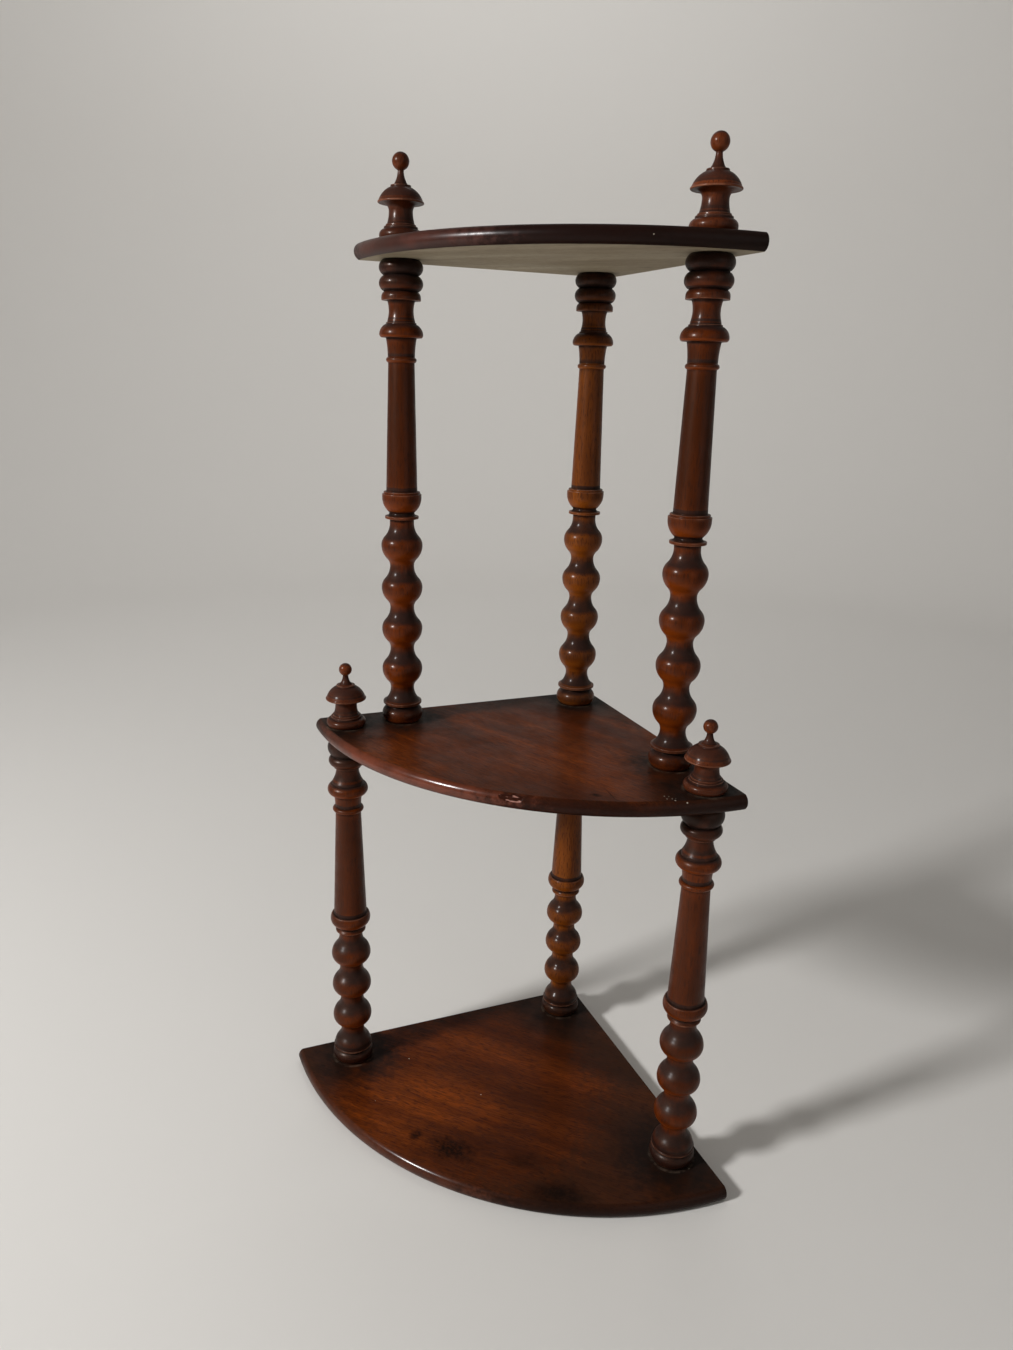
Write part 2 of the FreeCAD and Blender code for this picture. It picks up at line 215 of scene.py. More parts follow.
def latheSurface(moves, foot, soiled, head):
    # the softened profile carried round the axis, most rows where it bends, a fan at each end
    s = latheSettings
    path = walkProfile(moves, foot)
    steps = np.hypot(*np.diff(path, axis=0).T)
    path = path[np.concatenate([[True], steps > s["least"]])]
    even, radius, height = softPath(path, s["gap"], s["soften"])
    radius[[0, -1]] = 0.0
    across, rise = np.gradient(radius), np.gradient(height)
    turn = np.unwrap(np.arctan2(rise, across))
    bend = np.gradient(turn) / s["gap"]
    lean = across / np.hypot(across, rise)
    marks = wearMarks(even, height, bend, lean, soiled, head)
    cost = np.abs(np.gradient(turn)) / math.radians(s["rowTurn"]) + s["gap"] / s["rowGap"]
    worth = np.cumsum(cost)
    rows = np.searchsorted(worth, np.linspace(0, worth[-1], int(worth[-1])))
    keep = np.unique(rows.clip(1, len(even) - 2))
    around = s["around"]
    rings = spunPoints(radius[keep], height[keep], around)
    points = np.concatenate([rings, [[0, 0, height[0]], [0, 0, height[-1]]]])
    low, high = len(rings), len(rings) + 1
    here = np.arange(around)
    after = (here + 1) % around
    lastRow = (len(keep) - 1) * around
    floorFan = np.stack([np.full_like(here, low), after, here], 1)
    topFan = np.stack([np.full_like(here, high), lastRow + here, lastRow + after], 1)
    faces = gridQuads(len(keep), around, True).tolist() + floorFan.tolist() + topFan.tolist()
    marks = {name: np.concatenate([np.repeat(values[keep], around), [0, 0]])
             for name, values in marks.items()}
    return points, faces, marks


# Node helpers

def toLinear(red, green, blue):
    shares = np.array([red, green, blue]) / 255
    linear = np.where(shares <= 0.04045, shares / 12.92, ((shares + 0.055) / 1.055) ** 2.4)
    return (*linear.tolist(), 1.0)


def feed(tree, node, inputs):
    for key, value in inputs.items():
        if isinstance(value, bpy.types.NodeSocket):
            tree.links.new(value, node.inputs[key])
        else:
            node.inputs[key].default_value = value


def wire(tree, kind, inputs, output=0, **settings):
    node = tree.nodes.new("ShaderNode" + kind)
    for key, value in settings.items():
        setattr(node, key, value)
    feed(tree, node, inputs)
    return node.outputs[output]


def calc(tree, operation, a, b=0.0, clamp=False):
    return wire(tree, "Math", {0: a, 1: b}, operation=operation, use_clamp=clamp)


def times(tree, a, b):
    return calc(tree, "MULTIPLY", a, b)


def plus(tree, a, b):
    return calc(tree, "ADD", a, b)


def larger(tree, a, b):
    return b if a is None else calc(tree, "MAXIMUM", a, b)


def ease(tree, value, low, high, toLow=0.0, toHigh=1.0):
    return wire(tree, "MapRange", {"Value": value, 1: low, 2: high, 3: toLow, 4: toHigh},
                interpolation_type="SMOOTHSTEP")


def tint(tree, factor, wood, colour):
    # sockets 0, 6, 7 and 2 of a Mix node are its factor, its two colours and the mixed colour
    return wire(tree, "Mix", {0: factor, 6: wood, 7: toLinear(*colour)}, 2, data_type="RGBA",
                clamp_factor=True)


def vectorCalc(tree, operation, a, b):
    return wire(tree, "VectorMath", {0: a, 1: b}, operation=operation)


def stretch(tree, vector, scale):
    return vectorCalc(tree, "MULTIPLY", vector, scale)


def vectorLength(tree, vector):
    return wire(tree, "VectorMath", {0: vector}, "Value", operation="LENGTH")


def cloud(tree, vector, scale, detail, roughness):
    return wire(tree, "TexNoise", {"Vector": vector, "Scale": scale, "Detail": detail,
                                   "Roughness": roughness})


def mark(tree, name):
    return wire(tree, "Attribute", {}, "Fac", attribute_name=name)


def makeGroup(name, inputs, outputs):
    tree = bpy.data.node_groups.new(name, "ShaderNodeTree")
    for label, kind, default in inputs:
        socket = tree.interface.new_socket(label, in_out="INPUT", socket_type="NodeSocket" + kind)
        if default is not None:
            socket.default_value = default
    for label in outputs:
        tree.interface.new_socket(label, in_out="OUTPUT", socket_type="NodeSocketFloat")
    return tree, tree.nodes.new("NodeGroupInput").outputs, tree.nodes.new("NodeGroupOutput").inputs


def useGroup(tree, group, inputs):
    node = tree.nodes.new("ShaderNodeGroup")
    node.node_tree = group
    feed(tree, node, inputs)
    return node.outputs


# Wood grain along the first axis of the vector that comes in. Each row: stretch along and across,
# detail and roughness of the noise, then the values between which it fades in

grainSettings = {
    "sway": {"Scale": 9.0, "Detail": 2.0},
    "layers": {
        "Streak": (3.0, 52.0, 4.0, 0.6, 0.32, 0.68),
        "Lines": (16.0, 520.0, 2.0, 0.5, 0.3, 0.7),
        "Flecks": (75.0, 520.0, 2.0, 0.55, 0.36, 0.64),
        "Pores": (120.0, 1050.0, 1.5, 0.5, 0.54, 0.64),
        "Clouds": (5.0, 17.0, 3.0, 0.55, 0.35, 0.65),  # slow and long
    },
}


def makeGrain():
    layers = grainSettings["layers"]
    inputs = [("Vector", "Vector", None), ("Wander", "Float", 0.004)]
    tree, given, made = makeGroup("mahoganyGrain", inputs, list(layers))
    vector = given["Vector"]
    sway = wire(tree, "TexNoise", dict(grainSettings["sway"], Vector=vector), "Color")
    centred = vectorCalc(tree, "SUBTRACT", sway, (0.5, 0.5, 0.5))
    shift = wire(tree, "VectorMath", {0: centred, "Scale": given["Wander"]}, operation="SCALE")
    wavy = vectorCalc(tree, "ADD", vector, shift)
    for label, (along, across, detail, roughness, low, high) in layers.items():
        noise = cloud(tree, stretch(tree, wavy, (along, across, across)), 1.0, detail, roughness)
        tree.links.new(ease(tree, noise, low, high), made[label])
    return tree


# A soft-edged blot: distance from its centre over its reach, turned about the upright and
# roughened by noise

blotSettings = {"noise": (160.0, 4.0, 0.65), "lift": 2.0}


def makeBlot():
    inputs = [("Vector", "Vector", None), ("Centre", "Vector", None), ("Reach", "Vector", None),
              ("Turn", "Float", 0.0), ("Ragged", "Float", 0.4), ("Core", "Float", 0.35)]
    tree, given, made = makeGroup("blot", inputs, ["Mask"])
    away = vectorCalc(tree, "SUBTRACT", given["Vector"], given["Centre"])
    turned = wire(tree, "VectorRotate", {"Vector": away, "Angle": given["Turn"]},
                  rotation_type="Z_AXIS")
    far = vectorLength(tree, vectorCalc(tree, "DIVIDE", turned, given["Reach"]))
    rough = cloud(tree, given["Vector"], *blotSettings["noise"])
    lift = times(tree, calc(tree, "SUBTRACT", rough, 0.5), given["Ragged"])
    edge = plus(tree, far, times(tree, lift, blotSettings["lift"]))
    tree.links.new(ease(tree, edge, 1.0, given["Core"]), made["Mask"])
    return tree


# A thin broken ring of dust round a foot: near one distance from its axis, in patches

dustSettings = {"noise": (130.0, 4.0, 0.7), "patches": (0.38, 0.62), "soft": (1.0, 0.2)}


def makeDustRing():
    inputs = [("Vector", "Vector", None), ("Centre", "Vector", None), ("Radius", "Float", 0.02),
              ("Width", "Float", 0.003)]
    tree, given, made = makeGroup("dustRing", inputs, ["Mask"])
    away = vectorCalc(tree, "SUBTRACT", given["Vector"], given["Centre"])
    far = vectorLength(tree, stretch(tree, away, (1.0, 1.0, 0.0)))
    gap = calc(tree, "ABSOLUTE", calc(tree, "SUBTRACT", far, given["Radius"]))
    ring = ease(tree, calc(tree, "DIVIDE", gap, given["Width"]), *dustSettings["soft"])
    noise = cloud(tree, given["Vector"], *dustSettings["noise"])
    broken = ease(tree, noise, *dustSettings["patches"])
    tree.links.new(times(tree, ring, broken), made["Mask"])
    return tree


# Tiny pale crumbs, one in some of the cells of a scattered pattern

def makeCrumbs():
    inputs = [("Vector", "Vector", None), ("Scale", "Float", 85.0), ("Share", "Float", 0.9),
              ("Size", "Float", 0.06)]
    tree, given, made = makeGroup("crumbs", inputs, ["Mask"])
    cell = tree.nodes.new("ShaderNodeTexVoronoi")
    feed(tree, cell, {"Vector": given["Vector"], "Scale": given["Scale"]})
    chosen = wire(tree, "SeparateColor", {0: cell.outputs["Color"]})
    some = calc(tree, "GREATER_THAN", chosen, given["Share"])
    dot = ease(tree, cell.outputs["Distance"], given["Size"], times(tree, given["Size"], 0.5))
    tree.links.new(times(tree, dot, some), made["Mask"])
    return tree


grainGroup, blotGroup, dustGroup, crumbGroup = makeGrain(), makeBlot(), makeDustRing(), makeCrumbs()
print("made the wood groups")


def newMaterial(name):
    material = bpy.data.materials.new(name)
    material.use_nodes = True
    tree = material.node_tree
    return material, tree, tree.nodes["Principled BSDF"]


def grainSpace(tree, turn):
    place = wire(tree, "TexCoord", {}, "Object")
    return place, wire(tree, "Mapping", {"Vector": place, "Rotation": turn})


def grainOf(tree, along, look):
    return useGroup(tree, grainGroup, {"Vector": along, "Wander": look["wander"]})


def layGrain(tree, wood, grain, layers, look):
    # each layer tints the wood towards one of the look's colours
    for layer, share, colour in layers:
        wood = tint(tree, times(tree, grain[layer], share), wood, look[colour])
    return wood


def streaks(tree, grain, look):
    return tint(tree, grain["Streak"], toLinear(*look["mid"]), look["light"])


def blotOn(tree, place, centre, reach, **values):
    return useGroup(tree, blotGroup, dict(values, Vector=place, Centre=centre, Reach=reach))["Mask"]


def crumbsOn(tree, place, **values):
    return useGroup(tree, crumbGroup, dict(values, Vector=place))["Mask"]


def bumpNormal(tree, height, strength, distance):
    return wire(tree, "Bump", {"Height": height, "Strength": strength, "Distance": distance})


def polishOf(look):
    return {"Specular IOR Level": look["specular"], "Coat Roughness": look["coatRoughness"],
            "Coat IOR": look["coatIor"]}


# Turned wood: upright grain, dark wax on the shoulders with a painted sheen in its purple-grey tone,
# wax in the quirks, worn arrises lightened as painted highlights, soiled feet and painted shade below
# the heads.
# Colours are the red, green and blue of a display. Values in fours: as a mask goes from the first
# to the second, the result goes from the third to the fourth

turnedLook = {
    "light": (102, 42, 5),
    "mid": (68, 25, 3),
    "dark": (37, 14, 3),
    "clean": (128, 55, 6),
    # dark wax on the shoulders; its purple-grey tone is a painted sheen
    "shoulder": (37, 23, 20),
    # soiled feet, and painted shadow below the column heads
    "soil": (24, 14, 12),
    "quirk": (12, 7, 6),
    # rubbed arrises; their pale tone is also a painted highlight
    "worn": (130, 86, 66),
    "pore": (40, 17, 9),
    "crumb": (190, 178, 160),
    "wander": 0.006,
    "grain": [("Clouds", 0.7, "dark"), ("Lines", 0.35, "mid"), ("Pores", 0.6, "pore")],
    "cleanBelly": (0.05, 0.55, 0.0, 0.5),
    # painted shade on the long tapers, left off on the sunlit back column
    "taperStain": 0.4,
    "patch": (75.0, 4.0, 0.6),  # scale, detail and roughness of the patchy wax
    "waxDrift": (0.3, 0.7, -0.07, 0.05),
    "waxCover": (0.25, 0.6, 0.7, 0.95),
    "waxEdge": (0.04, 0.5),
    "quirkShare": (0.25, 0.55, 0.3, 0.7),
    "wornShare": (0.42, 0.62, 0.2, 0.7),
    "crumbCells": 0.985,
    "crumbShare": 0.6,
    "ringStretch": (4.0, 4.0, 900.0),  # fine rings left by the gouge
    "ringNoise": (1.0, 2.0, 0.5),
    "ringHeight": 0.4,
    "bump": (0.35, 0.0002),
    "roughness": (0.3, 0.7, 0.36, 0.5),
    "waxRoughness": 0.16,
    "quirkRoughness": 0.3,
    "coat": (0.3, 0.7, 0.21, 0.14),
    "coatLoss": 0.2,
    "coatRoughness": 0.18,
    "coatIor": 1.45,
    "specular": 0.12,
    "sheen": (1.0, 0.62, 0.44, 1.0),
}


def makeTurnedWood(name, look):
    material, tree, shader = newMaterial(name)
    place, along = grainSpace(tree, (0, math.radians(90), 0))
    grain = grainOf(tree, along, look)
    wood = layGrain(tree, streaks(tree, grain, look), grain, look["grain"], look)
    wood = tint(tree, ease(tree, mark(tree, "belly"), *look["cleanBelly"]), wood, look["clean"])
    # painted shade on the long tapers
    wood = tint(tree, times(tree, mark(tree, "plain"), look["taperStain"]), wood, look["dark"])
    patch = cloud(tree, place, *look["patch"])
    shoulder = plus(tree, mark(tree, "shoulder"), ease(tree, patch, *look["waxDrift"]))
    cover = ease(tree, patch, *look["waxCover"])
    waxAndSheen = times(tree, ease(tree, shoulder, *look["waxEdge"]), cover)
    # dark wax on the shoulders, its purple-grey tone a painted sheen
    wood = tint(tree, waxAndSheen, wood, look["shoulder"])
    # soiled feet, and painted shadow of the shelf above at the column heads
    wood = tint(tree, times(tree, mark(tree, "ends"), cover), wood, look["soil"])
    wax = times(tree, mark(tree, "crease"), ease(tree, patch, *look["quirkShare"]))
    wood = tint(tree, wax, wood, look["quirk"])
    # rubbed arrises, lightened as painted highlights
    rubAndLit = times(tree, mark(tree, "arris"), ease(tree, patch, *look["wornShare"]))
    wood = tint(tree, rubAndLit, wood, look["worn"])
    crumbs = crumbsOn(tree, place, Share=look["crumbCells"])
    wood = tint(tree, times(tree, crumbs, look["crumbShare"]), wood, look["crumb"])
    rings = cloud(tree, stretch(tree, place, look["ringStretch"]), *look["ringNoise"])
    relief = calc(tree, "SUBTRACT", times(tree, rings, look["ringHeight"]), grain["Pores"])
    dull = plus(tree, times(tree, waxAndSheen, look["waxRoughness"]),
                times(tree, wax, look["quirkRoughness"]))
    lost = times(tree, dull, look["coatLoss"])
    coat = calc(tree, "SUBTRACT", ease(tree, patch, *look["coat"]), lost, True)
    feed(tree, shader, {"Base Color": wood, "Normal": bumpNormal(tree, relief, *look["bump"]),
                        "Roughness": plus(tree, dull, ease(tree, patch, *look["roughness"])),
                        "Coat Weight": coat, "Specular Tint": look["sheen"], **polishOf(look)})
    return material


columnWood = makeTurnedWood("columnWood", turnedLook)
lowerColumnWood = makeTurnedWood("lowerColumnWood", dict(
    turnedLook, coatRoughness=0.28, specular=0.18))
# the back column's copy of the column wood, lighter and yellower, with undarkened tapers: painted
# sunlight
backColumnWood = makeTurnedWood("backColumnWood", dict(
    turnedLook, light=(124, 65, 16), mid=(88, 42, 10), dark=(54, 24, 7), clean=(144, 74, 16),
    taperStain=0.0))
finialWood = makeTurnedWood("finialWood", dict(
    turnedLook, light=(110, 51, 21), mid=(82, 37, 17), dark=(44, 21, 13), clean=(104, 48, 20),
    shoulder=(50, 28, 22), soil=(34, 19, 16)))


# Shelf boards: grain along the board's own direction, warm middle, wax and painted shade round the
# feet, a nose painted lighter on the left, stains

shelfLook = {
    "light": (116, 53, 12),
    "mid": (78, 31, 6),
    "dark": (42, 17, 5),
    "warm": (130, 60, 12),
    "grime": (42, 26, 16),
    "pore": (30, 13, 8),
    # wax film round the feet, also a painted shade
    "wax": (25, 18, 15),
    "dust": (112, 96, 82),
    "stain": (14, 8, 6),
    # dark polish on the nose, deepened as painted shade
    "edge": (22, 10, 7),
    # worn nose on the left; its lighter tone is also painted sunlight
    "rubbed": (122, 62, 42),
    # painted shade inside the chip
    "hollow": (44, 21, 14),
    "broken": (150, 108, 96),
    "crumb": (200, 190, 172),
    "wander": 0.012,
    "slowGrain": [("Clouds", 0.7, "dark")],
    "fineGrain": [("Lines", 0.3, "mid"), ("Flecks", 0.38, "dark")],
    "pores": [("Pores", 0.55, "pore")],
    "warmLeast": 0.45,
    "warmBlot": {"Ragged": 0.25, "Core": 0.0},
    "cleanBlot": {"Ragged": 0.3, "Core": 0.5},
    "grimeShare": 0.72,
    "patch": (42.0, 4.0, 0.62),  # scale, detail and roughness of the patchy wax
    "edgeShare": 0.8,
    "rubbedBlot": {"Ragged": 0.5},
    "rubbedPatch": (0.35, 0.6, 0.3, 0.6),
    "rubbedElsewhere": 0.04,
    "crumbCells": 0.955,
    "crumbShare": 0.85,
    "litterBlot": {"Core": 0.8},
    "litterCells": {"Scale": 300.0, "Share": 0.62, "Size": 0.26},
    "waxPatch": (0.3, 0.6, 0.6, 0.95),
    "waxOnNose": (0.1, 0.6, 1.0, 0.3),
    "dustWidth": 0.0024,
    "dustShare": 0.3,
    "stainBlot": {"Ragged": 0.45, "Core": 0.1},
    "mottle": (330.0, 3.0, 0.6),
    "mottleRange": (0.36, 0.6, 0.7, 1.0),
    "chipShare": 0.85,
    "splinterStretch": (160.0, 160.0, 620.0),
    "splinterNoise": (1.0, 2.0, 0.55),
    "splinterRange": (0.58, 0.66),
    "bump": (0.25, 0.0002),
    "roughness": (0.3, 0.7, 0.4, 0.52),
    "dull": {"wax": 0.04, "stain": 0.1, "dust": 0.2, "chip": 0.4},
    "polish": (0.3, 0.7, 0.1, 0.06),
    "noseGloss": (0.0, 1.0, 0.14, 0.6),
    "coatRoughness": 0.18,
    "coatIor": 1.45,
    "specular": 0.03,
}


def makeShelfWood(name, look, finish, feet):
    material, tree, shader = newMaterial(name)
    place, along = grainSpace(tree, (0, 0, math.radians(finish["grainTurn"])))
    grain = grainOf(tree, along, look)
    wood = layGrain(tree, streaks(tree, grain, look), grain, look["slowGrain"], look)
    for centre, reach, share in finish["warm"]:
        glow = blotOn(tree, place, centre, reach, **look["warmBlot"])
        depth = ease(tree, grain["Streak"], 0.0, 1.0, look["warmLeast"] * share, share)
        wood = tint(tree, times(tree, glow, depth), wood, look["warm"])
    wood = layGrain(tree, wood, grain, look["fineGrain"], look)
    clean = blotOn(tree, place, *finish["clean"], **look["cleanBlot"])
    wood = tint(tree, ease(tree, clean, 0.0, 1.0, look["grimeShare"], 0.0), wood, look["grime"])
    wood = layGrain(tree, wood, grain, look["pores"], look)

    # front edge: dark polish, deepened as painted shade, rubbed through where hands take hold and
    # lightened on the left as painted sunlight
    patch = cloud(tree, place, *look["patch"])
    nose = mark(tree, "nose")
    wood = tint(tree, times(tree, nose, look["edgeShare"]), wood, look["edge"])
    worn = blotOn(tree, place, *finish["rubbedEdge"], **look["rubbedBlot"])
    rubAndLit = times(tree, nose, ease(tree, patch, *look["rubbedPatch"]))
    rubAndLit = times(tree, rubAndLit, ease(tree, worn, 0.0, 1.0, look["rubbedElsewhere"], 1.0))
    wood = tint(tree, rubAndLit, wood, look["rubbed"])

    # wax and dust left round the feet, the wax film deepened as painted shade round them, stains,
    # crumbs
    waxFilmAndShade, dust, soak = None, None, None
    for centre, reach, rim in feet:
        waxFilmAndShade = larger(tree, waxFilmAndShade, blotOn(tree, place, centre, reach))
        ring = useGroup(tree, dustGroup, {"Vector": place, "Centre": centre, "Radius": rim,
                                          "Width": look["dustWidth"]})["Mask"]
        dust = larger(tree, dust, ring)
    waxFilmAndShade = times(tree, waxFilmAndShade, ease(tree, patch, *look["waxPatch"]))
    waxFilmAndShade = times(tree, waxFilmAndShade, ease(tree, nose, *look["waxOnNose"]))
    wood = tint(tree, waxFilmAndShade, wood, look["wax"])
    wood = tint(tree, times(tree, dust, look["dustShare"]), wood, look["dust"])
    mottle = ease(tree, cloud(tree, place, *look["mottle"]), *look["mottleRange"])
    for centre, reach, turn, share in finish["stains"]:
        blot = blotOn(tree, place, centre, reach, Turn=math.radians(turn), **look["stainBlot"])
        soak = larger(tree, soak, times(tree, times(tree, blot, mottle), share))
    wood = tint(tree, soak, wood, look["stain"])
    chip = mark(tree, "chip")
    noise = cloud(tree, stretch(tree, place, look["splinterStretch"]), *look["splinterNoise"])
    splinters = times(tree, chip, ease(tree, noise, *look["splinterRange"]))
    # painted shade inside the chip, then pale broken wood in splinters
    wood = tint(tree, times(tree, chip, look["chipShare"]), wood, look["hollow"])
    wood = tint(tree, splinters, wood, look["broken"])
    grit = crumbsOn(tree, place, Share=look["crumbCells"])
    for centre, reach in finish["litter"]:
        near = blotOn(tree, place, centre, reach, **look["litterBlot"])
        grit = larger(tree, grit, times(tree, near, crumbsOn(tree, place, **look["litterCells"])))
    wood = tint(tree, times(tree, grit, look["crumbShare"]), wood, look["crumb"])

    dull = times(tree, waxFilmAndShade, look["dull"]["wax"])
    for key, mask in (("stain", soak), ("dust", dust), ("chip", chip)):
        dull = plus(tree, dull, times(tree, mask, look["dull"][key]))
    gloss = times(tree, nose, ease(tree, worn, *look["noseGloss"]))
    polish = plus(tree, ease(tree, patch, *look["polish"]), gloss)
    relief = times(tree, grain["Pores"], -1.0)
    feed(tree, shader, {"Base Color": wood, "Normal": bumpNormal(tree, relief, *look["bump"]),
                        "Roughness": plus(tree, dull, ease(tree, patch, *look["roughness"])),
                        "Coat Weight": calc(tree, "SUBTRACT", polish, dull, True), **polishOf(look)})
    return material


# Undersides: pale bare wood, greyed by age

bareLook = {
    "light": (180, 166, 138),
    "mid": (153, 139, 113),
    "dark": (108, 94, 75),
    "wander": 0.01,
    "grain": [("Clouds", 0.5, "dark"), ("Lines", 0.5, "mid"), ("Pores", 0.5, "dark")],
    "roughness": (0.7, 0.85),
    "bump": (0.5, 0.0003),
}


def makeBareWood(name, look):
    material, tree, shader = newMaterial(name)
    grain = grainOf(tree, grainSpace(tree, (0, 0, 0))[1], look)
    wood = layGrain(tree, streaks(tree, grain, look), grain, look["grain"], look)
    relief = plus(tree, grain["Lines"], grain["Pores"])
    feed(tree, shader, {"Base Color": wood, "Normal": bumpNormal(tree, relief, *look["bump"]),
                        "Roughness": ease(tree, grain["Clouds"], 0.0, 1.0, *look["roughness"])})
    return material


bareWood = makeBareWood("bareWood", bareLook)
wedgeWood = makeBareWood("wedgeWood", dict(
    bareLook, light=(150, 112, 76), mid=(124, 88, 58), dark=(84, 56, 38)))
print("made the wood finishes")


# Columns and finials. After its radius a move has its height, a bead its quirk and height, a taper
# its second radius and height; last, a hook says if it starts upright, an ogee has the share before
# its turn and a bow its bulge

bobbin = [("ogee", 19.5, 19.6, 0.35), ("ogee", 11.4, 20.8, 0.4)]
ballBead = [("band", 12.0, 3.6), ("ogee", 20.2, 13.0, 0.2), ("ogee", 12.0, 20.9, 0.52)]
upperColumn = {
    "foot": [("bead", 20.0, 4.5, 15.0), ("band", 15.0, 3.0), ("band", 18.8, 2.6), ("step", 17.6),
             ("hook", 11.4, 13.6, False), *(bobbin * 4), ("band", 11.4, 4.6), ("band", 15.8, 2.6),
             ("hook", 11.7, 3.0, False), ("hook", 18.4, 14.0, False), ("band", 18.4, 3.4),
             ("band", 17.0, 2.2)],
    "shaft": (14.5, 11.9),
    "head": [("bead", 13.8, 1.9, 4.6), ("step", 12.2), ("hook", 13.8, 16.6, True), ("step", 18.0),
             ("hook", 19.6, 2.8, False), ("bow", 14.4, 8.4, 1.3), ("band", 13.6, 1.6),
             ("band", 12.4, 1.4), ("bow", 12.4, 17.0, -1.4), ("band", 17.5, 2.8),
             ("hook", 14.8, 4.6, True), ("bead", 19.5, 4.3, 13.2), ("bead", 19.5, 4.3, 13.2)],
    "soil": 0.5,
}
lowerColumn = {
    "foot": [("bead", 21.2, 4.3, 13.6), ("band", 17.0, 1.6), ("band", 20.2, 1.6), ("step", 19.4),
             ("ogee", 12.0, 19.6, 0.5), *(ballBead * 3), ("band", 12.0, 6.4), ("band", 15.4, 1.4),
             ("hook", 13.2, 4.4, False), ("hook", 20.4, 8.4, False), ("hook", 18.8, 5.6, True)],
    "shaft": (16.8, 12.6),
    "head": [("bead", 15.4, 2.8, 5.0), ("step", 12.8), ("hook", 14.2, 13.4, True), ("step", 16.4),
             ("hook", 20.0, 5.6, False), ("hook", 16.6, 5.6, True), ("band", 15.6, 2.0),
             ("hook", 11.0, 15.4, False), ("band", 13.4, 2.4), ("bead", 18.2, 3.6, 10.4),
             ("bead", 18.9, 4.3, 17.0)],
    "soil": 0.95,
}
finial = {
    "foot": (19.0, 3.4),  # radius and quirk of the bead it stands on
    "rings": ((14.8, 2.2), (13.2, 1.8)),
    "neckFoot": 12.2, "neckTop": 10.4,
    "capRise": 6.0,
    "brim": (0.9, 2.0),  # quirk and height of the cap's edge
    "dome": (9.8, 10.6, 1.5),
    "button": (8.9, 2.0),
    "spireFoot": 6.4, "spireTip": 2.6,
    "soil": 0.5,
}
topFinial = dict(finial, bead=10.0, neck=10.6, cap=20.2, spire=11.8, ball=7.4)
middleFinial = dict(finial, bead=8.0, neck=9.0, cap=19.5, spire=9.4, ball=6.2)
pegs = {"column": 8.0, "finial": 6.5, "clearance": 0.15, "reach": 18.0, "relief": 1.0, "short": 0.3,
        "stub": 10.0}


def heightOf(moves):
    return walkProfile(moves, 0.0)[-1, 1]


def columnMoves(column, length, pegLength, socket):
    wide, narrow = column["shaft"]
    shaft = length - heightOf(column["foot"]) - heightOf([("step", narrow)] + column["head"])
    moves = [("band", pegs["column"], pegLength)] + column["foot"]
    moves += [("taper", wide, narrow, shaft)] + column["head"]
    if socket:
        moves += [("band", socket + pegs["clearance"], -pegs["reach"] - pegs["relief"])]
    else:
        moves += [("band", pegs["column"], pegs["stub"])]
    return moves + [("step", 0.0)]


def finialMoves(shape, pegLength):
    brimQuirk, brimHeight = shape["brim"]
    footRadius, footQuirk = shape["foot"]
    return [("band", pegs["finial"], pegLength), ("bead", footRadius, footQuirk, shape["bead"]),
            *(("band", *ring) for ring in shape["rings"]), ("step", shape["neckFoot"]),
            ("hook", shape["neckTop"], shape["neck"], False),
            ("hook", shape["cap"] - brimQuirk, shape["capRise"], True),
            ("bead", shape["cap"], brimQuirk, brimHeight), ("bow", *shape["dome"]),
            ("band", *shape["button"]), ("step", shape["spireFoot"]),
            ("hook", shape["spireTip"], shape["spire"], False), ("ball", shape["ball"])]


def turnPiece(node, moves, foot, seat, material, soiled, head=None):
    low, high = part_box(node)
    points, faces, marks = latheSurface(moves, foot, soiled, head)
    points = points * mm + np.array([(low.x + high.x) / 2, (low.y + high.y) / 2, seat])
    makePiece("turned_" + node, node, points, faces, [material], marks)


shelfBox = {name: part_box(name) for name in ("bottom_shelf", "middle_shelf", "top_shelf")}
bottomTop, middleTop, topTop = (shelfBox[name][1].z for name in shelfBox)
middleUnder, topUnder = shelfBox["middle_shelf"][0].z, shelfBox["top_shelf"][0].z
thick = {name: (box[1].z - box[0].z) / mm for name, box in shelfBox.items()}
lowerLength, upperLength = (middleUnder - bottomTop) / mm, (topUnder - middleTop) / mm
for side in allSides:
    isBack = side == "back"
    peg = thick["bottom_shelf"] - pegs["short"]
    moves = columnMoves(lowerColumn, lowerLength, peg, pegs["column" if isBack else "finial"])
    wood = backColumnWood if isBack else lowerColumnWood
    turnPiece("lower_column_" + side, moves, -peg, bottomTop, wood,
              lowerColumn["soil"], lowerLength)
    peg = thick["middle_shelf"] + (pegs["reach"] if isBack else -pegs["short"])
    moves = columnMoves(upperColumn, upperLength, peg, None if isBack else pegs["finial"])
    wood = backColumnWood if isBack else columnWood
    turnPiece("upper_column_" + side, moves, -peg, middleTop, wood,
              upperColumn["soil"], upperLength)
    if not isBack:
        for level, shelf, shape, seat in (("middle", "middle_shelf", middleFinial, middleTop),
                                          ("top", "top_shelf", topFinial, topTop)):
            peg = thick[shelf] + pegs["reach"]
            turnPiece(level + "_finial_" + side, finialMoves(shape, peg), -peg, seat, finialWood,
                      shape["soil"])
print("turned the columns and finials")


# Shelf boards

